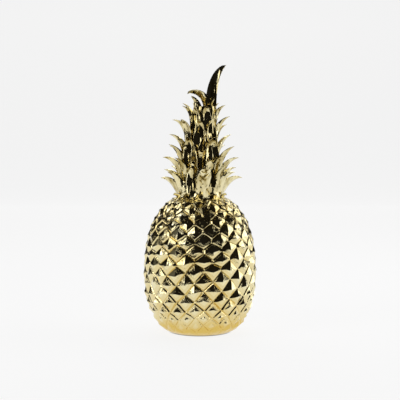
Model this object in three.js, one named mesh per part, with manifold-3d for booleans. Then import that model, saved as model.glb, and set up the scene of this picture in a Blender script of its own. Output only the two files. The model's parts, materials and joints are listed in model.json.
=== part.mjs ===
import * as THREE from "three";
import { mergeVertices } from "three/addons/utils/BufferGeometryUtils.js";
import Module from "manifold-3d";

// A pineapple ornament of gold glazed porcelain, cast in one piece: a plump body of carved
// diamond eyes on a flat foot, and a crown of channelled leaves with one tall horn leaf.
// Millimetres, +Z up. The origin is on the body's axis at the foot, and the front faces -Y.

// Body
const BODY_HEIGHT = 162;
const FOOT_RADIUS = 36;
const BELLY_RADIUS = 68.4;
const BELLY_HEIGHT = 66.4;
const NECK_RADIUS = 30;
const LOWER_FULLNESS = 2.75;
const UPPER_FULLNESS = 2.57;

// Recess under the foot, which leaves a ring to stand on
const FOOT_RING_WIDTH = 7;
const RECESS_DEPTH = 2;
const RECESS_SIDES = 48;

// Eyes: two families of spiral grooves cross and part the body into diamonds
const RIGHT_SPIRAL_COUNT = 17;
const LEFT_SPIRAL_COUNT = 20;
const EYE_HEIGHT = 23.5;
const EYE_CROWDING = 0.18;
const EYE_RISE = 2.5;
const GROOVE_DEPTH = 0.9;
const GROOVE_SHARE = 0.11;
const APEX_DROP = 0.07;
const SMOOTH_BAND = 5;
const FULL_RELIEF_HEIGHT = 36;
const RIGHT_PHASE = -0.522;
const LEFT_PHASE = 0.112;
const BELLY_PHASE = -0.223;

// Crown
const CROWN_HEIGHT = 158;
const CROWN_DRIFT = 6;
const STEM_FOOT_RADIUS = 27;
const STEM_TOP_RADIUS = 13;
const STEM_SHARE = 0.68;
const STEM_SIDES = 12;
const STEM_ROWS = 2;
const STEM_SINK = 8;
const LEAF_STATIONS = 4;
const BACK_STATIONS = 3;
const BRACT_STATIONS = 2;
const LEAF_SINK = 1;

const GOLD = 0xd9c074;
const GOLD_ROUGHNESS = 0.08;
const GOLD_METALNESS = 1;

const wasm = await Module();
wasm.setup();

const clamp01 = (value) => Math.min(Math.max(value, 0), 1);
const mix = (from, to, share) => from + (to - from) * share;
const smooth = (value) => clamp01(value) ** 2 * (3 - 2 * clamp01(value));
const radians = (degrees) => (degrees * Math.PI) / 180;

function solidOf(points, triangles) {
  const vertProperties = new Float32Array(points.flat());
  const triVerts = new Uint32Array(triangles.flat());
  return new wasm.Manifold(new wasm.Mesh({ numProp: 3, vertProperties, triVerts }));
}

// Body profile: two superelliptic quarters meet at the widest ring.
const superellipse = (share, fullness) => (1 - share ** fullness) ** (1 / fullness);
const lowerReach = BELLY_HEIGHT / superellipse(FOOT_RADIUS / BELLY_RADIUS, LOWER_FULLNESS);
const upperReach =
  (BODY_HEIGHT - BELLY_HEIGHT) / superellipse(NECK_RADIUS / BELLY_RADIUS, UPPER_FULLNESS);

function profilePoint(turn) {
  const fullness = turn < 0 ? LOWER_FULLNESS : UPPER_FULLNESS;
  const reach = turn < 0 ? lowerReach : upperReach;
  const along = Math.abs(Math.sin(turn)) ** (2 / fullness);
  return {
    radius: BELLY_RADIUS * Math.cos(turn) ** (2 / fullness),
    height: BELLY_HEIGHT + Math.sign(turn) * reach * along,
  };
}

// The profile from the closed bottom to the closed top. "row" counts eyes up from the belly,
// and eyes shrink a little where the body narrows.
const PROFILE_STEPS = 600;
const NARROWEST = 2;
function rowedProfile() {
  const turnAt = (step) => mix(-Math.PI / 2, Math.PI / 2, clamp01(step / PROFILE_STEPS));
  const rows = [{ ...profilePoint(turnAt(0)), row: 0 }];
  for (let step = 1; step <= PROFILE_STEPS; step += 1) {
    const point = profilePoint(turnAt(step));
    const last = rows[rows.length - 1];
    const length = Math.hypot(point.radius - last.radius, point.height - last.height);
    const crowding = (BELLY_RADIUS / Math.max(point.radius, NARROWEST)) ** EYE_CROWDING;
    rows.push({ ...point, row: last.row + (length * crowding) / EYE_HEIGHT });
  }
  const bellyRow = rows.find((point) => point.height >= BELLY_HEIGHT).row;
  return rows.map((point) => ({ ...point, row: point.row - bellyRow + BELLY_PHASE }));
}
const profile = rowedProfile();

function profileAt(row) {
  const found = profile.findIndex((point) => point.row >= row);
  const next = found < 1 ? (found < 0 ? profile.length - 1 : 1) : found;
  const [low, high] = [profile[next - 1], profile[next]];
  const share = clamp01((row - low.row) / (high.row - low.row));
  const run = Math.hypot(high.radius - low.radius, high.height - low.height);
  return {
    radius: mix(low.radius, high.radius, share),
    height: mix(low.height, high.height, share),
    outward: (high.height - low.height) / run,
    upward: (low.radius - high.radius) / run,
  };
}

// Lattice: "right" is constant along a groove that falls to the right, and "left" along one
// that falls to the left. Whole numbers are grooves, and their crossings are eye corners.
const SPIRAL_COUNT = RIGHT_SPIRAL_COUNT + LEFT_SPIRAL_COUNT;
const turnOf = (right, left) => (right + left - RIGHT_PHASE - LEFT_PHASE) / SPIRAL_COUNT;
const rowOf = (right, left) => right - RIGHT_PHASE - RIGHT_SPIRAL_COUNT * turnOf(right, left);

function bodyPoint(right, left, depth) {
  const place = profileAt(rowOf(right, left));
  const relief = smooth((place.height - SMOOTH_BAND) / (FULL_RELIEF_HEIGHT - SMOOTH_BAND));
  const radius = place.radius - depth * relief * place.outward;
  const angle = 2 * Math.PI * turnOf(right, left);
  const height = place.height - depth * relief * place.upward;
  return [radius * Math.sin(angle), -radius * Math.cos(angle), height];
}

// Each eye is a four-sided pyramid inside a V groove.
function bodySolid() {
  const points = [];
  const triangles = [];
  const known = new Map();
  const vertex = (right, left, depth) => {
    const turns = Math.floor(turnOf(right, left) + 1 / (4 * SPIRAL_COUNT));
    const [near, far] = [right - turns * RIGHT_SPIRAL_COUNT, left - turns * LEFT_SPIRAL_COUNT];
    const key = `${near.toFixed(3)},${far.toFixed(3)}`;
    if (!known.has(key)) known.set(key, points.push(bodyPoint(near, far, depth)) - 1);
    return known.get(key);
  };
  const rowAtHeight = (height) => profile.find((point) => point.height >= height).row;
  const lowestCentre = rowAtHeight(0) - 1 / 2;
  const highestCentre = rowAtHeight(BODY_HEIGHT) + 1 / 4;
  const reach = SPIRAL_COUNT + Math.ceil(highestCentre - lowestCentre);
  for (let right = -reach; right <= reach; right += 1) {
    for (let left = -reach; left <= reach; left += 1) {
      const turn = turnOf(right + 1 / 2, left + 1 / 2);
      const row = rowOf(right + 1 / 2, left + 1 / 2);
      if (turn < 0 || turn >= 1 || row < lowestCentre || row > highestCentre) continue;
      const ring = [[0, 0], [0, 1], [1, 1], [1, 0]];
      const inset = ([r, l]) => [mix(r, 1 / 2, 2 * GROOVE_SHARE), mix(l, 1 / 2, 2 * GROOVE_SHARE)];
      const groove = ring.map(([r, l]) => vertex(right + r, left + l, EYE_RISE + GROOVE_DEPTH));
      const brim = ring.map(inset).map(([r, l]) => vertex(right + r, left + l, EYE_RISE));
      const apex = vertex(right + 1 / 2 - APEX_DROP, left + 1 / 2 + APEX_DROP, 0);
      ring.forEach((corner, side) => {
        const next = (side + 1) % ring.length;
        triangles.push([groove[side], groove[next], brim[next]]);
        triangles.push([groove[side], brim[next], brim[side]]);
        triangles.push([brim[side], brim[next], apex]);
      });
    }
  }
  // The open rims above and below close to a point on the axis.
  const edges = new Map();
  triangles.forEach((corners) => {
    corners.forEach((from, side) => edges.set(`${from},${corners[(side + 1) % 3]}`, true));
  });
  const bottom = points.push([0, 0, profile[0].height]) - 1;
  const top = points.push([0, 0, profile[profile.length - 1].height]) - 1;
  [...edges.keys()].forEach((edge) => {
    const [from, to] = edge.split(",").map(Number);
    if (edges.has(`${to},${from}`)) return;
    triangles.push([to, from, points[from][2] < BELLY_HEIGHT ? bottom : top]);
  });
  return solidOf(points, triangles);
}

// Crown stem: a tapering post that drifts towards +X as it rises.
const stemTop = BODY_HEIGHT + CROWN_HEIGHT * STEM_SHARE;
function stemAt(height) {
  const share = clamp01((height - BODY_HEIGHT) / (stemTop - BODY_HEIGHT));
  return {
    radius: mix(STEM_FOOT_RADIUS, STEM_TOP_RADIUS, share),
    drift: CROWN_DRIFT * share ** 2,
  };
}

// A closed skin over rings of points, with a fan at each end.
function skinSolid(rings, startPoint, endPoint) {
  const size = rings[0].length;
  const points = [...rings.flat(), startPoint, endPoint];
  const triangles = [];
  const start = points.length - 2;
  const end = points.length - 1;
  for (let side = 0; side < size; side += 1) {
    const next = (side + 1) % size;
    triangles.push([start, next, side]);
    for (let row = 1; row < rings.length; row += 1) {
      const [low, high] = [(row - 1) * size, row * size];
      triangles.push([low + side, low + next, high + next]);
      triangles.push([low + side, high + next, high + side]);
    }
    const last = (rings.length - 1) * size;
    triangles.push([end, last + side, last + next]);
  }
  return solidOf(points, triangles);
}

function stemSolid() {
  const rings = [];
  const bottom = BODY_HEIGHT - STEM_SINK;
  for (let row = 0; row <= STEM_ROWS; row += 1) {
    const height = mix(bottom, stemTop, row / STEM_ROWS);
    const { radius, drift } = stemAt(height);
    const ring = [];
    for (let side = 0; side < STEM_SIDES; side += 1) {
      const angle = (2 * Math.PI * side) / STEM_SIDES;
      ring.push([drift + radius * Math.cos(angle), radius * Math.sin(angle), height]);
    }
    rings.push(ring);
  }
  const topCentre = [stemAt(stemTop).drift, 0, stemTop + STEM_TOP_RADIUS];
  return skinSolid(rings, [0, 0, bottom], topCentre);
}

// Leaf section, in shares of the half width: the outer face runs from edge to keel to edge,
// and the inner face returns along the channel.
const LEAF_WALL = 0.26;
const EDGE_INSET = 0.1;
const LEAF_TAPER = 0.9;
const FOOT_WIDTH = 0.85;
const POINT_WIDTH = 1.6;

// A leaf that faces the viewer curls only near its point, and one at the side bends sooner.
const FACING_BEND = 6;
const SIDE_BEND = 2.5;

// azimuth: degrees from the front, towards +X. foot, length, width: shares of the crown
// height. lean and curl: degrees from upright at the foot and at the point. fold: how far the
// edges stand in from the keel, in half widths, and below zero they stand out as on a hood.
function leafSolid(pose) {
  const { azimuth, foot, length, width, lean, curl, fold } = pose;
  const facing = radians(azimuth);
  const usualBend = mix(FACING_BEND, SIDE_BEND, Math.abs(Math.sin(facing)));
  const { taper = LEAF_TAPER, bend = usualBend, sink = LEAF_SINK } = pose;
  const { stations = LEAF_STATIONS } = pose;
  const footHeight = BODY_HEIGHT + CROWN_HEIGHT * foot;
  const stem = stemAt(footHeight);
  const step = (CROWN_HEIGHT * length) / stations;
  const outward = [Math.sin(facing), -Math.cos(facing)];
  const sideways = [Math.cos(facing), Math.sin(facing)];
  const angleAt = (share) => radians(mix(lean, curl, share ** bend));
  let reach = stem.radius - sink;
  let rise = 0;
  const place = (across, depth, share) => {
    const angle = angleAt(share);
    const radial = reach - depth * Math.cos(angle);
    return [
      stem.drift + radial * outward[0] + across * sideways[0],
      radial * outward[1] + across * sideways[1],
      footHeight + rise + depth * Math.sin(angle),
    ];
  };
  const rings = [];
  for (let station = 0; station < stations; station += 1) {
    const share = station / stations;
    const half = CROWN_HEIGHT * width * mix(FOOT_WIDTH, POINT_WIDTH, share) * (1 - share) ** taper;
    const depth = fold * half;
    const wall = LEAF_WALL * half;
    rings.push([
      place(-half, depth, share),
      place(0, 0, share),
      place(half, depth, share),
      place(half * (1 - EDGE_INSET), depth + wall, share),
      place(0, wall, share),
      place(-half * (1 - EDGE_INSET), depth + wall, share),
    ]);
    const angle = angleAt((station + 1 / 2) / stations);
    reach += step * Math.sin(angle);
    rise += step * Math.cos(angle);
  }
  const footCentre = rings[0][1].map((value, axis) => mix(value, rings[0][4][axis], 1 / 2));
  return skinSolid(rings, footCentre, place(0, 0, 1));
}

// The leaves that show from the front: azimuth, foot, length, width, lean, curl, fold.
const FRONT_LEAVES = [
  [-26, 0, 0.255, 0.095, -3, 105, 0.35],
  [56, 0.01, 0.255, 0.085, 8, 60, 0.4],
  [-88, 0, 0.2, 0.085, 28, 85, 0.7],
  [90, 0, 0.22, 0.085, 30, 95, 0.7],
  [-106, 0.02, 0.225, 0.08, 20, 75, 0.7],
  [108, 0.01, 0.215, 0.08, 20, 80, 0.7],
  [4, 0.15, 0.235, 0.095, 2, 130, 0.4],
  [-32, 0.23, 0.26, 0.085, -2, 110, -0.5],
  [34, 0.23, 0.26, 0.085, -2, 110, -0.5],
  [-92, 0.1, 0.25, 0.08, 14, 88, 0.7],
  [92, 0.1, 0.25, 0.075, 20, 82, 0.7],
  [-68, 0.17, 0.26, 0.08, 14, 62, 0.6],
  [72, 0.16, 0.26, 0.075, 18, 62, 0.6],
  [-4, 0.35, 0.25, 0.07, -3, 120, -0.4],
  [-108, 0.26, 0.25, 0.07, 14, 78, 0.7],
  [108, 0.26, 0.24, 0.062, 16, 65, 0.7],
  [-76, 0.37, 0.25, 0.07, 8, 82, 0.7],
  [80, 0.4, 0.235, 0.065, 12, 66, 0.7],
  [36, 0.38, 0.23, 0.07, -3, 75, -0.4],
  [-80, 0.52, 0.18, 0.055, 4, 66, 0.7],
  [84, 0.51, 0.2, 0.055, 8, 62, 0.7],
  [122, 0.49, 0.215, 0.05, 12, 58, 0.7],
  [14, 0.48, 0.225, 0.065, -3, 110, -0.4],
  [-30, 0.5, 0.19, 0.06, -2, 70, -0.3],
  [-56, 0.56, 0.2, 0.07, -10, 60, 0.5],
  [-62, 0.6, 0.165, 0.07, -6, 55, 0.6],
];

// The lowest leaf in front swells to a blunt, egg shaped point that leans out.
const EGG_LEAF = {
  azimuth: 10,
  foot: 0,
  length: 0.265,
  width: 0.064,
  lean: 2,
  curl: 66,
  fold: 0.5,
  taper: 0.55,
  bend: 1.3,
  sink: -1,
};

// A blunt leaf stands out high on the left.
const BLUNT_LEAF = {
  azimuth: -54,
  foot: 0.39,
  length: 0.22,
  width: 0.052,
  lean: 4,
  curl: 80,
  fold: -0.3,
  taper: 0.5,
  bend: 3,
};

// The highest leaf on the left arches over to a hanging point.
const ARCHED_LEAF = {
  azimuth: -75,
  foot: 0.625,
  length: 0.23,
  width: 0.065,
  lean: 0,
  curl: 112,
  fold: 0.8,
  taper: 0.65,
  bend: 1.6,
  sink: 13.5,
};

// The leaves behind stand in rings, each ring turned half a leaf against the one below.
const BACK_TIERS = 4;
const BACK_LEAVES = 4;
const BACK_SPREAD = 44;
const LOW_BACK_LEAF = { foot: 0.01, length: 0.25, width: 0.08, lean: 12, curl: 80, fold: 0.6 };
const HIGH_BACK_LEAF = { foot: 0.52, length: 0.2, width: 0.055, lean: 2, curl: 65, fold: 0.6 };

// The tall horn leaf is folded deep and hooks towards +X.
const HORN = {
  azimuth: 90,
  foot: 0.58,
  length: 0.424,
  width: 0.045,
  lean: 1,
  curl: 41,
  fold: 1.83,
  taper: 0.6,
  bend: 3,
  sink: 0.3,
  stations: 7,
};

// A wavy collar of short bracts covers the joint of crown and body.
const COLLAR_BRACTS = 10;
const BRACT = {
  foot: -0.035,
  length: 0.075,
  width: 0.06,
  lean: 22,
  curl: 110,
  fold: 0.5,
  stations: BRACT_STATIONS,
};

function crownLeaves() {
  const leaves = FRONT_LEAVES.map(([azimuth, foot, length, width, lean, curl, fold]) => {
    return { azimuth, foot, length, width, lean, curl, fold };
  });
  for (let tier = 0; tier < BACK_TIERS; tier += 1) {
    const share = tier / (BACK_TIERS - 1);
    const shape = {};
    Object.keys(LOW_BACK_LEAF).forEach((key) => {
      shape[key] = mix(LOW_BACK_LEAF[key], HIGH_BACK_LEAF[key], share);
    });
    const turned = (tier % 2) / 2 - 1 / 4;
    for (let leaf = 0; leaf < BACK_LEAVES; leaf += 1) {
      const place = leaf - (BACK_LEAVES - 1) / 2 + turned;
      const azimuth = 180 + BACK_SPREAD * place;
      leaves.push({ ...shape, azimuth, stations: BACK_STATIONS });
    }
  }
  for (let bract = 0; bract < COLLAR_BRACTS; bract += 1) {
    leaves.push({ ...BRACT, azimuth: (360 * bract) / COLLAR_BRACTS });
  }
  return [...leaves, EGG_LEAF, BLUNT_LEAF, ARCHED_LEAF, HORN];
}

function ornamentSolid() {
  let solid = bodySolid().add(stemSolid());
  crownLeaves().forEach((pose) => {
    solid = solid.add(leafSolid(pose));
  });
  // Pockets that the leaves close off inside the crown are solid.
  const skins = solid.decompose();
  solid = skins.sort((one, other) => other.volume() - one.volume())[0];
  const tall = 2 * (BODY_HEIGHT + CROWN_HEIGHT);
  const wide = 4 * BELLY_RADIUS;
  const below = solidOfGeometry(new THREE.BoxGeometry(wide, wide, tall).translate(0, 0, -tall / 2));
  const recessRadius = FOOT_RADIUS - FOOT_RING_WIDTH;
  const recess = new THREE.CylinderGeometry(
    recessRadius - RECESS_DEPTH, recessRadius, 2 * RECESS_DEPTH, RECESS_SIDES);
  return solid.subtract(below).subtract(solidOfGeometry(recess.rotateX(Math.PI / 2)));
}

function solidOfGeometry(geometry) {
  geometry.deleteAttribute("normal");
  geometry.deleteAttribute("uv");
  const merged = mergeVertices(geometry);
  const vertProperties = merged.attributes.position.array;
  const triVerts = new Uint32Array(merged.index.array);
  return new wasm.Manifold(new wasm.Mesh({ numProp: 3, vertProperties, triVerts }));
}

function meshOf(solid, name) {
  const { vertProperties, triVerts } = solid.getMesh();
  const geometry = new THREE.BufferGeometry();
  geometry.setAttribute("position", new THREE.BufferAttribute(vertProperties, 3));
  geometry.setIndex(new THREE.BufferAttribute(triVerts, 1));
  const glaze = new THREE.MeshStandardMaterial({
    color: GOLD,
    roughness: GOLD_ROUGHNESS,
    metalness: GOLD_METALNESS,
  });
  const mesh = new THREE.Mesh(geometry, glaze);
  mesh.name = name;
  return mesh;
}

const ornament = new THREE.Group();
ornament.add(meshOf(ornamentSolid(), "pineapple"));
export default ornament;
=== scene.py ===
# %% [markdown]
# # A pineapple ornament in gold glazed porcelain
#
# The real ornament is one slip casting. Liquid clay is poured into a plaster mould, a shell sets
# against the plaster, and the rest is poured out. The fired piece is glazed, then brushed with
# gold lustre and fired again, which leaves a mirror-bright skin over every carved form.
#
# This lesson builds that casting from three forms that grow into each other: the body with its
# net of diamond eyes, the crown of channelled leaves, and the tall horn leaf. They are joined by a
# boolean union, so the finished mesh is one closed skin, as the porcelain is.

# %% Load the frame
import json
import math
import random

import bmesh
import bpy
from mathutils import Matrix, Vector, kdtree, noise

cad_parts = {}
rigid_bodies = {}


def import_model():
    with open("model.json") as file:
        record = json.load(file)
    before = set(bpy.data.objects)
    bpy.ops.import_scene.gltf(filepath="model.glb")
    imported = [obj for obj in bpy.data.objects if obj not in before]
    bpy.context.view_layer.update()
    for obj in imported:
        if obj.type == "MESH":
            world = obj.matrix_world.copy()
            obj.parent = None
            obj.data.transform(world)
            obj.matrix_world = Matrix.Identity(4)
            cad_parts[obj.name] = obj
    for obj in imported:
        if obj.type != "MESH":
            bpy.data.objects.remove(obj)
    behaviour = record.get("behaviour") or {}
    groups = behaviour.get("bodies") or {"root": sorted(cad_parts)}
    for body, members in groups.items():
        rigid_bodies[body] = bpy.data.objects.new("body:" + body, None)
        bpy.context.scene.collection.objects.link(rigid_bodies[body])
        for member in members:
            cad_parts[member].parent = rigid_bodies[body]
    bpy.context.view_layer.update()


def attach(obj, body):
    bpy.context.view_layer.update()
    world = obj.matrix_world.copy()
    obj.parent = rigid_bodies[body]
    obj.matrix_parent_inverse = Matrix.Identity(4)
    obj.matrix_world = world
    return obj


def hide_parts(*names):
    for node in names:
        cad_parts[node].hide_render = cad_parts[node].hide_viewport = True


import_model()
MM = 0.001

# %% [markdown]
# ## The measures
#
# Every size is a real one in millimetres. The body is a superellipse turned about its axis: one
# exponent sets how full the part below the widest ring is, and another the part above it. Two
# families of spiral grooves cross on it, 17 falling to the right and 20 to the left. Counts like
# these give a pineapple its drifting rows, because they differ and neither divides the other.

# %% Measures of the body
BODY_HEIGHT = 162
FOOT_RADIUS = 36
BELLY_RADIUS = 68.4
BELLY_HEIGHT = 66.4
NECK_RADIUS = 30
LOWER_FULLNESS = 2.75
UPPER_FULLNESS = 2.57
RECESS_DEPTH = 2

RIGHT_SPIRALS = 17
LEFT_SPIRALS = 20
EYE_HEIGHT = 23.5
EYE_CROWDING = 0.18
RIGHT_PHASE = -0.522
LEFT_PHASE = 0.112
BELLY_PHASE = -0.223
SMOOTH_BAND = 1.5
FULL_RELIEF_HEIGHT = 20
FULL_GROOVE_HEIGHT = 10
NECK_FADE_START = 146
NECK_RELIEF = 0.45
PROFILE_STEPS = 600
NARROWEST = 2


def mix(start, end, share):
    return start + (end - start) * share


def clamp(value):
    return min(max(value, 0.0), 1.0)


def smooth(value):
    value = clamp(value)
    return value * value * (3 - 2 * value)


print("eyes round the body:", RIGHT_SPIRALS, "and", LEFT_SPIRALS, "spirals")

# %% [markdown]
# ## The body's profile
#
# The profile is walked from its closed bottom to its closed top in small steps. Each step adds to
# a running count of eye rows, so "row" says how many eyes up from the belly a point lies. Eyes
# shrink slightly where the body narrows. The walk also gives the way that faces out of the
# surface, which is what lifts and sinks the carving.


# %% Walk the profile
def superellipse(share, fullness):
    return (1 - share**fullness) ** (1 / fullness)


LOWER_REACH = BELLY_HEIGHT / superellipse(FOOT_RADIUS / BELLY_RADIUS, LOWER_FULLNESS)
UPPER_REACH = (BODY_HEIGHT - BELLY_HEIGHT) / superellipse(NECK_RADIUS / BELLY_RADIUS, UPPER_FULLNESS)


def profile_point(turn):
    fullness, reach = (LOWER_FULLNESS, LOWER_REACH) if turn < 0 else (UPPER_FULLNESS, UPPER_REACH)
    along = abs(math.sin(turn)) ** (2 / fullness)
    radius = BELLY_RADIUS * max(math.cos(turn), 0) ** (2 / fullness)
    return radius, BELLY_HEIGHT + math.copysign(reach * along, turn)


def walk_profile():
    walk = []
    row = belly_row = 0.0
    for step in range(PROFILE_STEPS + 1):
        radius, height = profile_point(mix(-math.pi / 2, math.pi / 2, step / PROFILE_STEPS))
        if walk:
            length = math.hypot(radius - walk[-1][0], height - walk[-1][1])
            row += length * (BELLY_RADIUS / max(radius, NARROWEST)) ** EYE_CROWDING / EYE_HEIGHT
            if walk[-1][1] < BELLY_HEIGHT <= height:
                belly_row = row
        walk.append((radius, height, row))
    return [(radius, height, row - belly_row + BELLY_PHASE) for radius, height, row in walk]


PROFILE = walk_profile()
PROFILE_TREE = kdtree.KDTree(len(PROFILE))
for index, (radius, height, _) in enumerate(PROFILE):
    PROFILE_TREE.insert((radius, height, 0), index)
PROFILE_TREE.balance()


def between(low, high, share):
    run = math.hypot(high[0] - low[0], high[1] - low[1])
    return {
        "radius": mix(low[0], high[0], share),
        "height": mix(low[1], high[1], share),
        "outward": (high[1] - low[1]) / run,
        "upward": (low[0] - high[0]) / run,
    }


def profile_at(row):
    index = next((i for i, point in enumerate(PROFILE) if point[2] >= row), len(PROFILE) - 1)
    low, high = PROFILE[max(index - 1, 0)], PROFILE[max(index, 1)]
    return between(low, high, clamp((row - low[2]) / (high[2] - low[2])))


def row_at_height(height):
    return next(row for _, level, row in PROFILE if level >= height)


print("the body holds", round(row_at_height(BODY_HEIGHT) - row_at_height(0), 1), "rows of eyes")

# %% [markdown]
# ## The crossings of the grooves
#
# The carver first scratches the two families of spirals, which meet in crossings. A crossing has
# a number in each family, and from the two numbers follow its turn round the body and its row.
# From a little above the middle upwards the crossings open into short upright edges, as the eyes
# there are slightly six-sided. A seeded wobble moves each crossing, because the original was cut
# by hand.

# %% Place the crossings
SPIRALS = RIGHT_SPIRALS + LEFT_SPIRALS
EYE_SLACK = 0.045
OPEN_FROM = 86
OPEN_SPREAD = 5
OPEN_SHARE = 0.085
SEED = 17
wobble = {}
dice = random.Random(SEED)
for right in range(-2 * SPIRALS, 2 * SPIRALS):
    for left in range(LEFT_SPIRALS):
        wobble[right, left] = [dice.gauss(0, 1) for _ in range(2)]


def wrapped(right, left):
    """The same place on the body, one or more turns back, with 0 <= left < LEFT_SPIRALS."""
    turns = math.floor(left / LEFT_SPIRALS)
    return right - turns * RIGHT_SPIRALS, left - turns * LEFT_SPIRALS


def turn_of(right, left):
    return (right + left - RIGHT_PHASE - LEFT_PHASE) / SPIRALS


def row_of(right, left):
    return right - RIGHT_PHASE - RIGHT_SPIRALS * turn_of(right, left)


def crossing(right, left, opening):
    """The crossing of two grooves on the crest surface, moved up or down by its opening."""
    right, left = wrapped(right, left)
    sway, lift = wobble[right, left]
    row = row_of(right, left)
    height = profile_at(row)["height"]
    calm = smooth(height / FULL_RELIEF_HEIGHT)
    opened = OPEN_SHARE if height + OPEN_SPREAD * lift > OPEN_FROM else 0
    place = profile_at(row + opening * opened + EYE_SLACK * lift * calm)
    angle = math.tau * (turn_of(right, left) + EYE_SLACK * sway * calm / SPIRALS)
    radius = place["radius"] * MM
    return Vector((radius * math.sin(angle), -radius * math.cos(angle), place["height"] * MM))


print("a crossing in millimetres:", [round(value / MM, 1) for value in crossing(0, 0, 0)])

# %% [markdown]
# ## The net of eyes
#
# Each diamond between four crossings becomes one eye. No operator lays such a net round a
# barrel, so a loop places one face for each eye, and neighbours share their corners. Every face
# also gets a map of its own, from 0 to 1 between the grooves, which the finish needs later.

# %% Lay the net
ROWS_BELOW = 1 / 2
ROWS_ABOVE = 1 / 4
SHARED_DIGITS = 6


def lay_net():
    net = bmesh.new()
    lattice = net.loops.layers.uv.new("lattice")
    corners = {}

    def corner(right, left, opening):
        place = crossing(right, left, opening)
        key = tuple(round(value, SHARED_DIGITS) for value in place)
        if key not in corners:
            corners[key] = net.verts.new(place)
        return corners[key]

    lowest = row_at_height(0) - ROWS_BELOW
    highest = row_at_height(BODY_HEIGHT) + ROWS_ABOVE
    reach = SPIRALS + math.ceil(highest - lowest)
    for right in range(-reach, reach + 1):
        for left in range(-reach, reach + 1):
            turn = turn_of(right + 1 / 2, left + 1 / 2)
            row = row_of(right + 1 / 2, left + 1 / 2)
            if not 0 <= turn < 1 or not lowest <= row <= highest:
                continue
            outline = [
                (right, left, 1), (right, left, -1), (right, left + 1, 1),
                (right + 1, left + 1, -1), (right + 1, left + 1, 1), (right + 1, left, -1),
            ]
            ring = {}
            for place in outline:
                ring.setdefault(corner(*place), (place[0] - right, place[1] - left))
            eye = net.faces.new(ring.keys())
            for loop in eye.loops:
                loop[lattice].uv = ring[loop.vert]
    return net


body = lay_net()
print("the net has", len(body.faces), "eyes")

# %% [markdown]
# ## The way out of the surface
#
# Carving moves points in and out of the clay, so it has to know which way is out. The nearest
# step of the profile tells it, for a point at any height and turn. The faces' own normals would
# do on the first net, but not on the carved one, where each facet faces its own way.

# %% Find the way out
def nearest_on_profile(place):
    point = (math.hypot(place.x, place.y) / MM, place.z / MM, 0)
    best = max(PROFILE_TREE.find(point)[1], 1)
    return between(PROFILE[best - 1], PROFILE[best], 1)


def outward_of(place):
    found = nearest_on_profile(place)
    radius = max(math.hypot(place.x, place.y), MM)
    across = found["outward"] / radius
    return Vector((place.x * across, place.y * across, found["upward"]))


belly = Vector((BELLY_RADIUS, 0, BELLY_HEIGHT)) * MM
print("the way out at the belly:", [round(value, 2) for value in outward_of(belly)])

# %% [markdown]
# ## Carving the eyes
#
# Each eye is a low pyramid with slightly hollow sides, and a narrow V groove runs round it. Two
# insets and a poke make that from one flat face: the first inset leaves the groove's flank, the
# second the flat outer part of the facets, and the poke raises the point. An inset of a whole
# face keeps its border parallel, so all grooves come out equally wide. The points don't stay in
# the middle: on the upper eyes they move a little downhill, and on the low ones uphill, where
# the facets that look down are the large ones.

# %% Carve the eyes
GROOVE_DEPTH = 1.3
EYE_RISE = 2.15
GROOVE_WIDTH = 1.1
FACET_WIDTH = 2.5
FACET_RISE = 0.9
CHORD_SAG = 0.2
APEX_DROP = 1.3
LOW_APEX_LIFT = 2.1
LIFT_FULL = 40
LIFT_END = 76
GROOVE_CREASE = 0.9
BRIM_CREASE = 0.7
INNER_CREASE = 0.15
RIDGE_CREASE = 0.6
EYE_MIDDLE = (0.5, 0.5)


def sink_to_grooves(net):
    """Moves the net in from the crests to the bottom of the grooves."""
    for vertex in net.verts:
        vertex.co -= outward_of(vertex.co) * (EYE_RISE + GROOVE_DEPTH) * MM
    bmesh.ops.recalc_face_normals(net, faces=net.faces)
    net.normal_update()


def step_up(net, eyes, width, rise, ring_crease, corner_crease):
    """Insets every eye by one step, and creases the new ring and the edges that run to it."""
    crease = net.edges.layers.float["crease_edge"]
    known = set(net.edges)
    bmesh.ops.inset_individual(
        net, faces=eyes, thickness=width * MM, depth=rise * MM, use_even_offset=True)
    ring = {edge for eye in eyes for edge in eye.edges}
    for edge in net.edges:
        if edge not in known:
            edge[crease] = ring_crease if edge in ring else corner_crease


def carve(net):
    sink_to_grooves(net)
    crease = net.edges.layers.float.new("crease_edge")
    for edge in net.edges:
        edge[crease] = GROOVE_CREASE
    eyes = list(net.faces)
    step_up(net, eyes, GROOVE_WIDTH, GROOVE_DEPTH, BRIM_CREASE, GROOVE_CREASE)
    step_up(net, eyes, FACET_WIDTH, FACET_RISE, INNER_CREASE, RIDGE_CREASE)
    rest = EYE_RISE - FACET_RISE + CHORD_SAG
    poked = bmesh.ops.poke(net, faces=eyes, offset=rest * MM, center_mode="MEAN")
    lattice = net.loops.layers.uv["lattice"]
    for apex in poked["verts"]:
        outward = outward_of(apex.co)
        downhill = Vector((0, 0, -1)) + outward * outward.z
        height_share = smooth((apex.co.z / MM - LIFT_FULL) / (LIFT_END - LIFT_FULL))
        apex.co += downhill.normalized() * mix(-LOW_APEX_LIFT, APEX_DROP, height_share) * MM
        for edge in apex.link_edges:
            edge[crease] = RIDGE_CREASE
        for loop in apex.link_loops:
            loop[lattice].uv = EYE_MIDDLE


carve(body)
print("the carved cage has", len(body.faces), "faces")

# %% [markdown]
# ## Softening the carving
#
# Under glaze no edge stays knife sharp. Subdivision rounds the cage, and the crease that the
# carving gave an edge says how much of its sharpness is kept: most in the bottom of a groove and
# on the brim beside it, less on the ridges that run up to the point of an eye. The two open rims
# are first drawn together on the axis, which makes the skin a closed one.

# %% Close and subdivide
BODY_LEVELS = 2


def depth_below_crest(place):
    found = nearest_on_profile(place)
    radius, height = math.hypot(place.x, place.y) / MM, place.z / MM
    inwards = (found["radius"] - radius) * found["outward"]
    return inwards + (found["height"] - height) * found["upward"]


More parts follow.
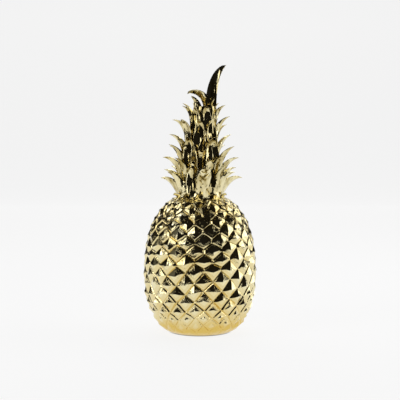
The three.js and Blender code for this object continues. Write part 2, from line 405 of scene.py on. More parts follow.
def close_rims(net):
    rims = [edge for edge in net.edges if edge.is_boundary]
    for lower in (True, False):
        rim = [edge for edge in rims if (edge.verts[0].co.z < BELLY_HEIGHT * MM) == lower]
        grown = bmesh.ops.extrude_edge_only(net, edges=rim)["geom"]
        tips = [part for part in grown if isinstance(part, bmesh.types.BMVert)]
        end = PROFILE[0 if lower else -1][1] * MM
        bmesh.ops.pointmerge(net, verts=tips, merge_co=Vector((0, 0, end)))


def as_object(net, name):
    mesh = bpy.data.meshes.new(name)
    net.to_mesh(mesh)
    net.free()
    piece = bpy.data.objects.new(name, mesh)
    bpy.context.scene.collection.objects.link(piece)
    return piece


def apply_modifiers(piece):
    view = bpy.context.evaluated_depsgraph_get()
    finished = bpy.data.meshes.new_from_object(piece.evaluated_get(view))
    piece.modifiers.clear()
    piece.data = finished
    return piece


close_rims(body)
bmesh.ops.recalc_face_normals(body, faces=body.faces)
casting = as_object(body, "pineapple_casting")
rounding = casting.modifiers.new("Rounding", "SUBSURF")
rounding.levels = rounding.render_levels = BODY_LEVELS
apply_modifiers(casting)
print("rounded body:", len(casting.data.polygons), "faces")

# %% [markdown]
# ## Settling the relief
#
# The low eyes are cut deeper than the others. Right at the foot they flatten into faint lines
# and then a plain band, because the mould has to let go of the casting there, and under the
# crown they grow calmer too. So each point keeps the share of its depth that its height sets.
# Carving every row by its own numbers would do the same, but this changes smoothly from row to
# row. A slow wobble then bends every facet a little, as a hand-cut model has no true planes.

# %% Settle the relief
LOW_BOOST = 1.6
BOOST_FULL = 38
BOOST_END = 78
HAND_WOBBLE = 0.55
HAND_SCALE = 110


def settle(net):
    for vertex in net.verts:
        height = nearest_on_profile(vertex.co)["height"]
        depth = depth_below_crest(vertex.co)
        neck = mix(1, NECK_RELIEF, smooth((height - NECK_FADE_START) / (BODY_HEIGHT - NECK_FADE_START)))
        relief = neck * smooth((height - SMOOTH_BAND) / (FULL_RELIEF_HEIGHT - SMOOTH_BAND))
        relief *= mix(LOW_BOOST, 1, smooth((height - BOOST_FULL) / (BOOST_END - BOOST_FULL)))
        grooved = neck * smooth((height - SMOOTH_BAND) / (FULL_GROOVE_HEIGHT - SMOOTH_BAND))
        kept = min(depth, EYE_RISE) * relief + max(depth - EYE_RISE, 0) * grooved
        hand = noise.noise(vertex.co * HAND_SCALE) * HAND_WOBBLE * relief
        vertex.co += outward_of(vertex.co) * (depth - kept + hand) * MM


carved = bmesh.new()
carved.from_mesh(casting.data)
settle(carved)
print("settled points:", len(carved.verts))

# %% [markdown]
# ## The foot
#
# The casting stands on a ring, ground level after firing, with a shallow recess inside it. A
# plane cuts the rounded bottom off, and the open rim is drawn inwards in steps: round the edge
# of the ring, across it, and up into the recess. The last rim is filled with one face.

# %% Cut the foot
FOOT_CUT = 0.8
CUT_SLACK = 0.01
MERGE_DISTANCE = 1e-7
# The radius and the height of each step.
FOOT_RINGS = [(35.5, 0.25), (35.0, 0), (29.2, 0), (28.4, 0.5), (28.0, RECESS_DEPTH)]


def leave_plain(net, faces):
    """Puts faces in the middle of an eye on the lattice map, away from the cuts by the grooves."""
    lattice = net.loops.layers.uv.get("lattice") or net.loops.layers.uv.new("lattice")
    for loop in (loop for face in faces for loop in face.loops):
        loop[lattice].uv = EYE_MIDDLE


def draw_in(net, rim, radius, height):
    """Grows a rim of edges inwards to a ring, and gives back the new rim."""
    grown = bmesh.ops.extrude_edge_only(net, edges=rim)["geom"]
    for vertex in (part for part in grown if isinstance(part, bmesh.types.BMVert)):
        share = radius * MM / max(math.hypot(vertex.co.x, vertex.co.y), MM)
        vertex.co = (vertex.co.x * share, vertex.co.y * share, height * MM)
    return [part for part in grown if isinstance(part, bmesh.types.BMEdge)]


def cut_foot(net):
    everything = net.verts[:] + net.edges[:] + net.faces[:]
    cut = bmesh.ops.bisect_plane(
        net, geom=everything, dist=MERGE_DISTANCE, plane_co=(0, 0, FOOT_CUT * MM),
        plane_no=(0, 0, 1), clear_inner=True)
    rim = [part for part in cut["geom_cut"] if isinstance(part, bmesh.types.BMEdge)]
    for radius, height in FOOT_RINGS:
        rim = draw_in(net, rim, radius, height)
    bmesh.ops.contextual_create(net, geom=rim)
    foot_top = (FOOT_CUT + CUT_SLACK) * MM
    leave_plain(net, [face for face in net.faces if all(v.co.z < foot_top for v in face.verts)])


cut_foot(carved)
bmesh.ops.recalc_face_normals(carved, faces=carved.faces)
carved.to_mesh(casting.data)
print("open edges on the body:", sum(not edge.is_manifold for edge in carved.edges))
print("lowest point:", min(vertex.co.z for vertex in carved.verts))
carved.free()

# %% [markdown]
# ## A skin from a grid
#
# The stem and the leaves are closed shapes that taper, and the leaves bend too. No primitive has
# their form. A flat grid is enough to start from: one way it runs round the section, the other
# way along the piece. A rule puts each of its points in place, merging the seam closes the skin
# lengthwise, and an end that stays open is filled.

# %% Measures of the stem, and the helper for a skin
CROWN_HEIGHT = 158
CROWN_DRIFT = 6
STEM_FOOT_RADIUS = 27
STEM_TOP_RADIUS = 13
STEM_SHARE = 0.68
STEM_TOP = BODY_HEIGHT + CROWN_HEIGHT * STEM_SHARE
AROUND = 20
ALONG = 22


def stem_at(height):
    share = clamp((height - BODY_HEIGHT) / (STEM_TOP - BODY_HEIGHT))
    return mix(STEM_FOOT_RADIUS, STEM_TOP_RADIUS, share), CROWN_DRIFT * share**2


def skin(around, along, place, name):
    """A closed skin: place(angle share, length share) puts each point of a grid."""
    net = bmesh.new()
    bmesh.ops.create_grid(net, x_segments=around, y_segments=along, size=1 / 2)
    for vertex in net.verts:
        vertex.co = place(vertex.co.x + 1 / 2, vertex.co.y + 1 / 2) * MM
    bmesh.ops.remove_doubles(net, verts=net.verts, dist=MERGE_DISTANCE)
    rims = [edge for edge in net.edges if edge.is_boundary]
    if rims:
        bmesh.ops.holes_fill(net, edges=rims)
    bmesh.ops.recalc_face_normals(net, faces=net.faces)
    leave_plain(net, net.faces)
    return as_object(net, name)


print("the stem's top is at", round(STEM_TOP, 1), "mm, and its axis drifts", stem_at(STEM_TOP)[1], "mm")

# %% [markdown]
# ## Leaves
#
# A crown leaf is a channelled blade with round rims. It stands almost upright at its foot and
# bends outwards to a thin point. Its keel is walked in small steps that lean further and
# further. The rows of the grid are then set across the keel, each as wide as the taper says and
# raised at both rims, which makes the channel. One rule serves every leaf.

# %% Grow a leaf
LEAF_SINK = 1
LEAF_WALL = 0.3
LEAF_TAPER = 0.9
FOOT_WIDTH = 0.85
POINT_WIDTH = 1.6
FACING_BEND = 6
SIDE_BEND = 2.5
CHANNEL_POWER = 1.4
THINNEST = 0.35
RIM_POWER = 4
BEND_STEPS = 44


def bend_line(pose, bend):
    """Points (reach, rise, angle) along the keel of a leaf, from foot to point."""
    step = CROWN_HEIGHT * pose["length"] / BEND_STEPS
    reach, rise, line = 0.0, 0.0, []
    for count in range(BEND_STEPS + 1):
        share = count / BEND_STEPS
        angle = math.radians(mix(pose["lean"], pose["curl"], share**bend))
        line.append((reach, rise, angle))
        reach += step * math.sin(angle)
        rise += step * math.cos(angle)
    return line


def grow_leaf(pose, name):
    foot_height = BODY_HEIGHT + CROWN_HEIGHT * pose["foot"]
    stem_radius, drift = stem_at(foot_height)
    facing = math.radians(pose["azimuth"])
    outward = Vector((math.sin(facing), -math.cos(facing), 0))
    sideways = Vector((math.cos(facing), math.sin(facing), 0))
    sidewards = abs(outward.x)
    fold = pose["fold"]
    line = bend_line(pose, pose.get("bend", mix(FACING_BEND, SIDE_BEND, sidewards)))
    taper, sink = pose.get("taper", LEAF_TAPER), pose.get("sink", LEAF_SINK)

    def place(turn, share):
        reach, rise, angle = line[round(share * BEND_STEPS)]
        half = CROWN_HEIGHT * pose["width"] * mix(FOOT_WIDTH, POINT_WIDTH, share) * (1 - share) ** taper
        across = math.cos(math.tau * turn)
        wall = max(LEAF_WALL * half, THINNEST)
        side = math.copysign(1, math.sin(math.tau * turn))
        through = (1 + side * math.sqrt(max(1 - across**RIM_POWER, 0))) / 2
        depth = fold * half * abs(across) ** CHANNEL_POWER + wall * through
        radial = stem_radius - sink + reach - depth * math.cos(angle)
        height = foot_height + rise + depth * math.sin(angle)
        return Vector((drift, 0, height)) + outward * radial + sideways * (across * half)

    return skin(AROUND, ALONG, place, name)


trial = bend_line({"length": 0.25, "lean": 0, "curl": 90}, SIDE_BEND)
print("a leaf that curls to level reaches out", round(trial[-1][0], 1), "mm")

# %% [markdown]
# ## The leaves in view
#
# The leaves that face the viewer each have their own place and bend, as a mould maker sets them
# one by one, so a table holds them, one row for a leaf. The foot, length and width are shares of
# the crown's height. The angles are in degrees: the azimuth runs from the viewer's side to the
# right, the lean is the angle from upright at the foot, and the curl the one at the point. The
# fold says how deep the channel is, and below zero the blade is arched instead.

# %% Table of the leaves in view
LEAF_KEYS = ("azimuth", "foot", "length", "width", "lean", "curl", "fold")
FRONT_LEAVES = [
    (-26, 0, 0.255, 0.095, -3, 105, 0.35),
    (56, 0.01, 0.255, 0.085, 8, 60, 0.4),
    (-88, 0, 0.2, 0.085, 28, 85, 0.7),
    (90, 0, 0.22, 0.085, 30, 95, 0.7),
    (-66, 0, 0.22, 0.085, 14, 70, 0.6),
    (68, 0, 0.22, 0.085, 14, 70, 0.6),
    (-106, 0.02, 0.225, 0.08, 20, 75, 0.7),
    (108, 0.01, 0.215, 0.08, 20, 80, 0.7),
    (-16, 0.09, 0.2, 0.08, 0, 70, -0.3),
    (24, 0.1, 0.2, 0.08, 0, 70, -0.3),
    (-52, 0.1, 0.225, 0.075, 12, 65, 0.5),
    (50, 0.12, 0.215, 0.075, 12, 60, 0.5),
    (4, 0.15, 0.235, 0.095, 2, 130, 0.4),
    (-32, 0.23, 0.26, 0.085, -2, 110, -0.5),
    (34, 0.23, 0.26, 0.085, -2, 110, -0.5),
    (-92, 0.1, 0.25, 0.08, 14, 88, 0.7),
    (92, 0.1, 0.25, 0.075, 20, 82, 0.7),
    (-68, 0.17, 0.26, 0.08, 14, 62, 0.6),
    (72, 0.16, 0.26, 0.075, 18, 62, 0.6),
    (14, 0.28, 0.2, 0.075, -2, 70, -0.3),
    (-4, 0.35, 0.25, 0.07, -3, 120, -0.4),
    (-108, 0.26, 0.25, 0.07, 14, 78, 0.7),
    (108, 0.26, 0.24, 0.062, 16, 65, 0.7),
    (-76, 0.37, 0.25, 0.07, 8, 82, 0.7),
    (80, 0.4, 0.235, 0.065, 12, 66, 0.7),
    (36, 0.38, 0.23, 0.07, -3, 75, -0.4),
    (-80, 0.52, 0.18, 0.055, 4, 66, 0.7),
    (84, 0.51, 0.2, 0.055, 8, 62, 0.7),
    (122, 0.49, 0.215, 0.05, 12, 58, 0.7),
    (14, 0.48, 0.225, 0.065, -3, 110, -0.4),
    (-30, 0.5, 0.19, 0.06, -2, 70, -0.3),
    (-56, 0.56, 0.2, 0.07, -10, 60, 0.5),
    (-62, 0.6, 0.165, 0.07, -6, 55, 0.6),
    (56, 0.55, 0.19, 0.055, -8, 40, 0.5),
]
print("leaves in the table:", len(FRONT_LEAVES))

# %% [markdown]
# ## The other leaves
#
# Four leaves have outlines of their own: a wide low one, a blunt one, an arched one, and the
# horn, which is folded deep and keeps its width almost to its hooked point. The leaves behind
# stand in plain rings, each turned half a leaf against the ring below, and change evenly from
# the lowest ring to the highest. A collar of short bracts hides the seam between crown and body.

# %% Leaves of their own shape, back and collar
EGG_LEAF = {
    "azimuth": 10, "foot": 0, "length": 0.265, "width": 0.064, "lean": 2, "curl": 66,
    "fold": 0.5, "taper": 0.55, "bend": 1.3, "sink": -1,
}
BLUNT_LEAF = {
    "azimuth": -54, "foot": 0.39, "length": 0.22, "width": 0.052, "lean": 4, "curl": 80,
    "fold": -0.3, "taper": 0.5, "bend": 3,
}
ARCHED_LEAF = {
    "azimuth": -75, "foot": 0.625, "length": 0.23, "width": 0.065, "lean": 0, "curl": 112,
    "fold": 0.8, "taper": 0.65, "bend": 1.6, "sink": 13.5,
}
BACK_TIERS = 4
BACK_LEAVES = 4
BACK_SPREAD = 44
LOW_BACK_LEAF = {"foot": 0.01, "length": 0.25, "width": 0.08, "lean": 12, "curl": 80, "fold": 0.6}
HIGH_BACK_LEAF = {"foot": 0.52, "length": 0.2, "width": 0.055, "lean": 2, "curl": 65, "fold": 0.6}
HORN = {
    "azimuth": 90, "foot": 0.58, "length": 0.421, "width": 0.048, "lean": 1, "curl": 41,
    "fold": 1.83, "taper": 0.6, "bend": 3, "sink": 0.3,
}
COLLAR_BRACTS = 10
BRACT = {"foot": -0.035, "length": 0.075, "width": 0.06, "lean": 22, "curl": 110, "fold": 0.5}


def crown_poses():
    poses = [dict(zip(LEAF_KEYS, values)) for values in FRONT_LEAVES]
    for tier in range(BACK_TIERS):
        share = tier / (BACK_TIERS - 1)
        shape = {key: mix(LOW_BACK_LEAF[key], HIGH_BACK_LEAF[key], share) for key in LOW_BACK_LEAF}
        turned = (tier % 2) / 2 - 1 / 4
        for leaf in range(BACK_LEAVES):
            place = leaf - (BACK_LEAVES - 1) / 2 + turned
            poses.append({**shape, "azimuth": 180 + BACK_SPREAD * place})
    for bract in range(COLLAR_BRACTS):
        poses.append({**BRACT, "azimuth": 360 * bract / COLLAR_BRACTS})
    return [*poses, EGG_LEAF, BLUNT_LEAF, ARCHED_LEAF, HORN]


print("leaves and bracts:", len(crown_poses()))

# %% [markdown]
# ## Growing the crown
#
# Every leaf sits on a tapering stem that drifts a little to the right, and its foot sinks into
# the stem. The stem is grown by the same helper as the leaves, with a plainer rule for the place
# of each point.

# %% Grow the crown
STEM_SINK = 8


def place_on_stem(turn, share):
    height = mix(BODY_HEIGHT - STEM_SINK, STEM_TOP, share)
    radius, drift = stem_at(height)
    angle = math.tau * turn
    return Vector((drift + radius * math.cos(angle), radius * math.sin(angle), height))


grown = [grow_leaf(pose, f"leaf_{index}") for index, pose in enumerate(crown_poses())]
grown.append(skin(AROUND, ALONG, place_on_stem, "stem"))
print("the crown has", len(grown) - 1, "leaves and bracts")

# %% [markdown]
# ## One casting
#
# A union makes a single closed skin of the body, the stem and all the leaves, and removes what
# lies inside. The solver reads the grown pieces from a collection. Faces are then shaded smooth
# but for the sharp edges. The facets of an eye meet at low angles, so on the body an edge counts
# as sharp much sooner than on the round leaves.

# %% Join the casting
LEAF_SHARP_ANGLE = 50
EYE_SHARP_ANGLE = 13
parts = bpy.data.collections.new("grown_parts")
for piece in grown:
    bpy.context.scene.collection.objects.unlink(piece)
    parts.objects.link(piece)
bpy.context.scene.collection.children.link(parts)
union = casting.modifiers.new("Union", "BOOLEAN")
union.operation = "UNION"
union.solver = "MANIFOLD"
union.operand_type = "COLLECTION"
union.collection = parts
apply_modifiers(casting)
for piece in grown:
    bpy.data.meshes.remove(piece.data)
bpy.data.collections.remove(parts)


def sharpen(mesh):
    """Smooth shading, with hard edges where faces meet at more than the limit of their part."""
    mesh.shade_smooth()
    net = bmesh.new()
    net.from_mesh(mesh)
    for edge in net.edges:
        on_crown = edge.verts[0].co.z > BODY_HEIGHT * MM
        limit = math.radians(LEAF_SHARP_ANGLE if on_crown else EYE_SHARP_ANGLE)
        edge.smooth = edge.calc_face_angle(0) < limit
    net.to_mesh(mesh)
    net.free()


sharpen(casting.data)
casting.data.calc_loop_triangles()
print("one casting:", len(casting.data.loop_triangles), "triangles")

# %% [markdown]
# ## Gold lustre
#
# The lustre is a film of real gold on glossy glaze, so it is a metal with a very low roughness.
# Its base colour is the pale lemon of bright gold. Plain metal would look too clean, and four
# effects change that: ripples and pits in the glaze, a tone that drifts between pale and warm and
# also holds painted shade in the grooves and a painted reflection near the foot, short cuts beside
# the grooves, and furrows along the leaves. Each effect is a node group, so that it can be read and
# reused alone. A few helpers keep the groups short: one adds any node, and an input that is given
# an output of another node is linked to it.

# %% Colours of the film, and helpers for nodes
LEMON_GOLD = (0.87, 0.805, 0.52, 1)
# The warm gold serves the real warm patches, and also the painted shade in the grooves and the painted
# reflection near the foot.
WARM_GOLD = (0.74, 0.53, 0.14, 1)
LEAF_GOLD = (0.38, 0.29, 0.09, 1)
NUMBER = "NodeSocketFloat"
PLACE = "NodeSocketVector"


def node_group(name, inputs, outputs):
    """An empty node group with the given sockets, and its entry and exit nodes."""
    group = bpy.data.node_groups.new(name, "ShaderNodeTree")
    for sockets, side in ((inputs, "INPUT"), (outputs, "OUTPUT")):
        for socket, kind in sockets.items():
            group.interface.new_socket(socket, in_out=side, socket_type=kind)
    enter, leave = group.nodes.new("NodeGroupInput"), group.nodes.new("NodeGroupOutput")
    return group, enter.outputs, leave.inputs


def add_node(tree, kind, inputs, **settings):
    """Adds a node. An input is either a plain value or the output that is linked to it."""
    node = tree.nodes.new("ShaderNode" + kind)
    for name, value in settings.items():
        setattr(node, name, value)
    for name, value in inputs.items():
        if isinstance(value, bpy.types.NodeSocket):
            tree.links.new(value, node.inputs[name])
        else:
            node.inputs[name].default_value = value
    return node.outputs


def calculate(tree, operation, *values, **settings):
    """A math node on values and outputs of other nodes."""
    return add_node(tree, "Math", dict(enumerate(values)), operation=operation, **settings)[0]


def ramp(tree, value, start, end, low=0, high=1, curve="LINEAR"):
    """Runs from low to high while the value runs from start to end, and stays level beyond."""
    inputs = {"Value": value, "From Min": start, "From Max": end, "To Min": low, "To Max": high}
    return add_node(tree, "MapRange", inputs, interpolation_type=curve)["Result"]


def pattern(tree, place, scale, **details):
    """Soft noise from 0 to 1."""
    return add_node(tree, "TexNoise", {"Vector": place, "Scale": scale, **details})["Fac"]


print("gold film:", LEMON_GOLD[:3], "warm:", WARM_GOLD[:3], "on the leaves:", LEAF_GOLD[:3])

# %% [markdown]
# ### Ripples and pits
#
# Glaze melts into a skin that is never quite level: it keeps slow ripples, and gas leaves pits
# like pinpricks. Both could be modelled, but they are far smaller than a facet, so two sizes of
# noise stand in for them. Their sum is a height for the bump, and the pits also roughen the film.

# %% Group for ripples and pits
RIPPLE_DETAIL = 2
PIT_DETAIL = 4
PIT_SHARE = 0.12


def glaze_ripple():
    group, enter, leave = node_group(
        "glaze_ripple",
        {"Vector": PLACE, "Ripple Scale": NUMBER, "Pit Scale": NUMBER},
        {"Height": NUMBER, "Pits": NUMBER})
    ripple = pattern(group, enter["Vector"], enter["Ripple Scale"], Detail=RIPPLE_DETAIL)
    pits = pattern(group, enter["Vector"], enter["Pit Scale"], Detail=PIT_DETAIL)
    group.links.new(calculate(group, "MULTIPLY_ADD", pits, PIT_SHARE, ripple), leave["Height"])
    group.links.new(pits, leave["Pits"])
    return group


ripple_group = glaze_ripple()
print(ripple_group.name, "has", len(ripple_group.nodes), "nodes")

# %% [markdown]
# ### Warm and thin places
#
# Lustre is brushed on, and it varies in slow patches of warmer gold. Painted shade gives the
# grooves a warmer, deeper gold, and a painted reflection of the floor warms the film towards the
# foot. On the leaves, streaks of it are thin and brownish. One mask says how warm the film is,
# from patches, painted shade and painted reflection, and another how much of the leaf tone shows.

# %% Group for the tone of the film, with painted shade and painted reflection
PATCH_SCALE = 22
PATCH_DETAIL = 3
PATCH_RANGE = (0.35, 0.75)
PATCH_WARMTH = 0.5
# Painted shade: the film is a warmer, deeper gold near the grooves.
GROOVE_SHADE_WARMTH = 0.25
# Painted reflection: below this height in mm the film warms towards the foot, as if lit back by the
# floor.
FOOT_REFLECTION_HEIGHT = 25
CROWN_BAND = (BODY_HEIGHT - 2, BODY_HEIGHT + 8)
STREAK_STRETCH = (1, 1, 0.3)
THIN_SCALE = 120
THIN_RANGE = (0.4, 0.66)


def height_in(group, place):
    return add_node(group, "SeparateXYZ", {0: place})["Z"]


def drawn_out(group, place):
    """The place with its height shortened, which draws a pattern out up the leaves."""
    return add_node(group, "VectorMath", {0: place, 1: STREAK_STRETCH}, operation="MULTIPLY")["Vector"]


def lustre_tone_and_painted_shade():
    group, enter, leave = node_group(
        "lustre_tone_and_painted_shade", {"Vector": PLACE, "Groove": NUMBER}, {"Warmth": NUMBER, "Crown": NUMBER})
    height = height_in(group, enter["Vector"])
    noisy = pattern(group, enter["Vector"], PATCH_SCALE, Detail=PATCH_DETAIL)
    patches = ramp(group, noisy, *PATCH_RANGE, high=PATCH_WARMTH)
    # Painted reflection of the floor, warmer towards the foot.
    painted_foot_reflection = ramp(group, height, FOOT_REFLECTION_HEIGHT * MM, 0, curve="SMOOTHSTEP")
    # Painted shade in the grooves, added to the real random patches.
    grooved = calculate(group, "MULTIPLY_ADD", enter["Groove"], GROOVE_SHADE_WARMTH, patches)
    group.links.new(calculate(group, "ADD", grooved, painted_foot_reflection, use_clamp=True), leave["Warmth"])
    crown = ramp(group, height, CROWN_BAND[0] * MM, CROWN_BAND[1] * MM)
    thin = ramp(group, pattern(group, drawn_out(group, enter["Vector"]), THIN_SCALE), *THIN_RANGE)
    group.links.new(calculate(group, "MULTIPLY", crown, thin), leave["Crown"])
    return group


tone_group = lustre_tone_and_painted_shade()
print(tone_group.name, "has", len(tone_group.nodes), "nodes")

# %% [markdown]
# ### Cuts beside the grooves
#
# The knife that cut the grooves left short notches across the border of each eye. The lattice
# map knows where a place lies inside its eye: 0 and 1 are the grooves, and the point is in the
# middle. A sine along the groove, sharpened by a power and kept near the border, gives a row of
# notches that bends with the net, which noise couldn't do. The leaves lie in the middle of that
# map, so they get none.

# %% Group for the cuts
CUT_REACH = (0.1, 0.22)
CUT_POWER = 3
SECOND_SIDE = 0.4
GROOVE_REACH = 0.12


def groove_hatching():
    """The height of the cuts, and how near the groove a place is."""
    group, enter, leave = node_group(
        "groove_hatching",
        {"Vector": PLACE, "Jitter": NUMBER, "Cuts": NUMBER},
        {"Height": NUMBER, "Groove": NUMBER})
    split = add_node(group, "SeparateXYZ", {0: enter["Vector"]})
    sides = []
    for across, along in (("X", "Y"), ("Y", "X")):
        edge = calculate(group, "PINGPONG", split[across], 0.5)
        phase = calculate(group, "MULTIPLY", split[along], enter["Cuts"])
        shaken = calculate(group, "ADD", phase, enter["Jitter"])
        wave = calculate(group, "SINE", calculate(group, "MULTIPLY", shaken, math.tau))
        cut = calculate(group, "POWER", calculate(group, "MAXIMUM", wave, 0), CUT_POWER)
        near = ramp(group, edge, CUT_REACH[1], CUT_REACH[0], curve="SMOOTHSTEP")
        sides.append((edge, calculate(group, "MULTIPLY", cut, near)))
    height = calculate(group, "MULTIPLY_ADD", sides[1][1], SECOND_SIDE, sides[0][1])
    border = calculate(group, "MINIMUM", sides[0][0], sides[1][0])
    group.links.new(height, leave["Height"])
    group.links.new(ramp(group, border, GROOVE_REACH, 0), leave["Groove"])
    return group


cut_group = groove_hatching()
print(cut_group.name, "has", len(cut_group.nodes), "nodes")

# %% [markdown]
# ### Furrows along the leaves
#
# The modeller drew each leaf with a ribbed tool, and its furrows run up the blade. They could be
# cut into every leaf, but a noise that is drawn out in height does it for all of them at once.
# A mask that grows above the neck keeps the furrows off the body.

# %% Group for the furrows
STREAK_SCALE = 150
STREAK_DETAIL = 1
STREAK_START = 12


def leaf_streaks():
    group, enter, leave = node_group("leaf_streaks", {"Vector": PLACE}, {"Height": NUMBER})
    furrow = pattern(group, drawn_out(group, enter["Vector"]), STREAK_SCALE, Detail=STREAK_DETAIL)
    height = height_in(group, enter["Vector"])
    crown = ramp(group, height, BODY_HEIGHT * MM, (BODY_HEIGHT + STREAK_START) * MM)
    group.links.new(calculate(group, "MULTIPLY", furrow, crown), leave["Height"])
    return group


streak_group = leaf_streaks()
print(streak_group.name, "has", len(streak_group.nodes), "nodes")

# %% [markdown]
# ### The finished material
#
# The shader itself stays in the material. The tones mix into its base colour, the pits set its
# roughness between two small values, and three bumps follow each other into its normal, because
# every relief has a depth of its own. The patterns follow Object coordinates, so they keep their
# real size on the piece.

# %% Put the material together
RIPPLE_SCALE = 130
PIT_SCALE = 900
PIT_RANGE = (0.3, 0.7)
ROUGHNESS = (0.05, 0.11)
CUTS = 5
JITTER_SCALE = 90
# Each bump has a strength, and a distance in metres.
RIPPLE_BUMP = (0.5, 0.0012)
CUT_BUMP = (0.5, 0.0001)
STREAK_BUMP = (0.8, 0.005)


def gold_lustre():
    material = bpy.data.materials.new("gold_lustre")
    material.use_nodes = True
    tree = material.node_tree
    shader = tree.nodes["Principled BSDF"]
    shader.inputs["Metallic"].default_value = 1
    shader.inputs["Coat Weight"].default_value = 0
    place = add_node(tree, "TexCoord", {})["Object"]
    lattice = add_node(tree, "UVMap", {}, uv_map="lattice")["UV"]

    scales = {"Ripple Scale": RIPPLE_SCALE, "Pit Scale": PIT_SCALE}
    ripple = add_node(tree, "Group", {"Vector": place, **scales}, node_tree=ripple_group)
    shaken = {"Jitter": pattern(tree, place, JITTER_SCALE), "Cuts": CUTS}
    cuts = add_node(tree, "Group", {"Vector": lattice, **shaken}, node_tree=cut_group)
    film = {"Vector": place, "Groove": cuts["Groove"]}
    film = add_node(tree, "Group", film, node_tree=tone_group)
    streaks = add_node(tree, "Group", {"Vector": place}, node_tree=streak_group)

    # The warmth mixes real patches with painted shade in the grooves and a painted reflection near the
    # foot.
    tone = {"Factor": film["Warmth"], "A": LEMON_GOLD, "B": WARM_GOLD}
    tone = add_node(tree, "Mix", tone, data_type="RGBA")["Result"]
    tone = {"Factor": film["Crown"], "A": tone, "B": LEAF_GOLD}
    tone = add_node(tree, "Mix", tone, data_type="RGBA")["Result"]
    tree.links.new(tone, shader.inputs["Base Color"])
    tree.links.new(ramp(tree, ripple["Pits"], *PIT_RANGE, *ROUGHNESS), shader.inputs["Roughness"])

    below = {}
    for relief, (strength, distance) in ((ripple, RIPPLE_BUMP), (cuts, CUT_BUMP), (streaks, STREAK_BUMP)):
        bump = {"Height": relief["Height"], "Strength": strength, "Distance": distance}
        below = {"Normal": add_node(tree, "Bump", {**bump, **below})["Normal"]}
    tree.links.new(below["Normal"], shader.inputs["Normal"])
    return material


casting.data.materials.clear()
casting.data.materials.append(gold_lustre())
print("material:", casting.data.materials[0].name)

# %% [markdown]
# ## The light table
#
# Mirror gold shows its room, so the stage is built for what the facets should mirror. The photo
# has a white ground without a horizon. A flat grid gives it: its back edge is drawn up into a
# wall, and a wide bevel makes the sweep between them. It glows by itself, because lamps strong
# enough to whiten it would burn out the gold. Close round the foot the glow falls off to a soft
# shade. The table ends a little way in front of the object, so facets that face the camera
# mirror the dark part of the room, and facets that look down mirror the table.

# %% Build the light table
PIXEL = 1.195 * MM
LOOK_HEIGHT = 132 * PIXEL
FLOOR_FRONT = -0.37
FLOOR_BACK = 2.2
FLOOR_SIDE = 0.9
WALL_HEIGHT = 1.4
SWEEP_RADIUS = 0.5
SWEEP_SEGMENTS = 16
CARD_ROUGHNESS = 0.9
CARD_COLOUR = (0.1, 0.1, 0.1, 1)
FLOOR_GLOW = 0.86
FOOT_SHADE = (35.5, 39)
DEEPEST_SHADE = 0.25


def pale_card():
    material = bpy.data.materials.new("pale_card")
    material.use_nodes = True
    tree = material.node_tree
    shader = tree.nodes["Principled BSDF"]
    shader.inputs["Roughness"].default_value = CARD_ROUGHNESS
    shader.inputs["Base Color"].default_value = CARD_COLOUR
    shader.inputs["Emission Strength"].default_value = FLOOR_GLOW
    place = add_node(tree, "TexCoord", {})["Object"]
    reach = add_node(tree, "VectorMath", {0: place}, operation="LENGTH")["Value"]
    near, far = FOOT_SHADE
    shade = ramp(tree, reach, near * MM, far * MM, low=DEEPEST_SHADE, curve="SMOOTHSTEP")
    tree.links.new(shade, shader.inputs["Emission Color"])
    return material


def build_floor():
    net = bmesh.new()
    bmesh.ops.create_grid(net, x_segments=1, y_segments=1, size=1 / 2)
    for vertex in net.verts:
        vertex.co.x *= 2 * FLOOR_SIDE
        vertex.co.y = FLOOR_FRONT if vertex.co.y < 0 else FLOOR_BACK
    back = [edge for edge in net.edges if all(vertex.co.y > 0 for vertex in edge.verts)]
    wall = bmesh.ops.extrude_edge_only(net, edges=back)["geom"]
    tops = [part for part in wall if isinstance(part, bmesh.types.BMVert)]
    bmesh.ops.translate(net, verts=tops, vec=(0, 0, WALL_HEIGHT))
    bmesh.ops.bevel(
        net, geom=back, offset=SWEEP_RADIUS, segments=SWEEP_SEGMENTS, profile=0.5, affect="EDGES",
        material=-1)
    bmesh.ops.recalc_face_normals(net, faces=net.faces)
    floor = as_object(net, "floor")
    floor.data.materials.append(pale_card())
    floor.data.shade_smooth()
    return floor


floor = build_floor()
print("light table:", len(floor.data.polygons), "faces")

# %% [markdown]
# ## Lights
#
# The left flank in the photo mirrors a narrow bright light with a dim room beside it, and the
# right flank a broad one. Area lights are the way to get such clean shapes in gold: a bright
# strip and a dim box on the left, and a large box on the right. One more box hangs above and
# behind, and lights the rims of the leaves. The rest of the room is nearly black.

# %% Hang the lights
# Azimuth and elevation in degrees, distance, width and height in metres, and brightness.
LIGHTS = {
    "left_box": (-74, 22, 1.2, 0.8, 1.0, 0.1),
    "left_strip": (-56, 26, 1.1, 0.38, 1.25, 2.4),
    "right_box": (101, 18, 1.2, 0.85, 1.25, 1.9),
    "top_box": (0, 122, 1.2, 1.5, 0.6, 2.2),
}
ROOM_COLOUR = (0.012, 0.011, 0.010, 1)


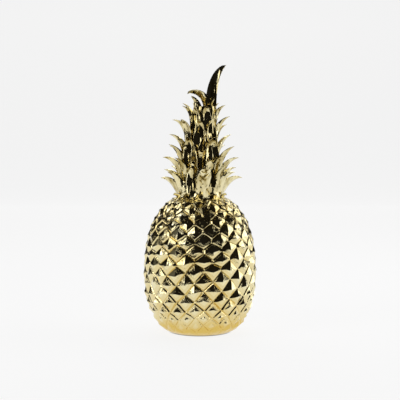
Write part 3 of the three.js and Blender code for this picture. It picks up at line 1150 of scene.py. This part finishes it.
def soft_light(name, azimuth, elevation, distance, width, height, brightness):
    """A soft box seen from the object: azimuth from the camera's side, to the right."""
    lamp = bpy.data.lights.new(name, "AREA")
    lamp.shape = "RECTANGLE"
    lamp.size, lamp.size_y = width, height
    lamp.energy = brightness * math.pi * width * height
    light = bpy.data.objects.new(name, lamp)
    bpy.context.scene.collection.objects.link(light)
    turn, rise = math.radians(azimuth), math.radians(elevation)
    way = Vector((math.sin(turn) * math.cos(rise), -math.cos(turn) * math.cos(rise), math.sin(rise)))
    light.location = way * distance + Vector((0, 0, LOOK_HEIGHT))
    light.rotation_euler = way.to_track_quat("Z", "Y").to_euler()


for name, measures in LIGHTS.items():
    soft_light(name, *measures)
world = bpy.data.worlds.new("dark_room")
world.use_nodes = True
world.node_tree.nodes["Background"].inputs["Color"].default_value = ROOM_COLOUR
bpy.context.scene.world = world
bpy.context.scene.view_settings.view_transform = "Standard"
print("lights:", ", ".join(LIGHTS))

# %% [markdown]
# ## Camera
#
# The view is from far off, a little above the middle of the object. The course of the grooves
# fits a tilt of less than five degrees. One pixel of the picture covers 1.195 mm at the object,
# and the lens follows from that size and the distance.

# %% Aim the camera
CAMERA_DISTANCE = 1200 * PIXEL
CAMERA_TILT = math.radians(4.71)
FRAME_WIDTH = 400 * PIXEL
SENSOR = 36
camera_data = bpy.data.cameras.new("camera")
camera_data.sensor_width = SENSOR
camera_data.lens = SENSOR * CAMERA_DISTANCE / FRAME_WIDTH
camera = bpy.data.objects.new("camera", camera_data)
bpy.context.scene.collection.objects.link(camera)
camera.location = (
    0, -CAMERA_DISTANCE * math.cos(CAMERA_TILT), LOOK_HEIGHT + CAMERA_DISTANCE * math.sin(CAMERA_TILT))
camera.rotation_euler = (math.pi / 2 - CAMERA_TILT, 0, 0)
bpy.context.scene.camera = camera
print("camera at", [round(value, 3) for value in camera.location])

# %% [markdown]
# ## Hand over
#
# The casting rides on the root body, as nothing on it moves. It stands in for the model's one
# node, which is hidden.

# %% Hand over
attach(casting, "root")
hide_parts("pineapple")
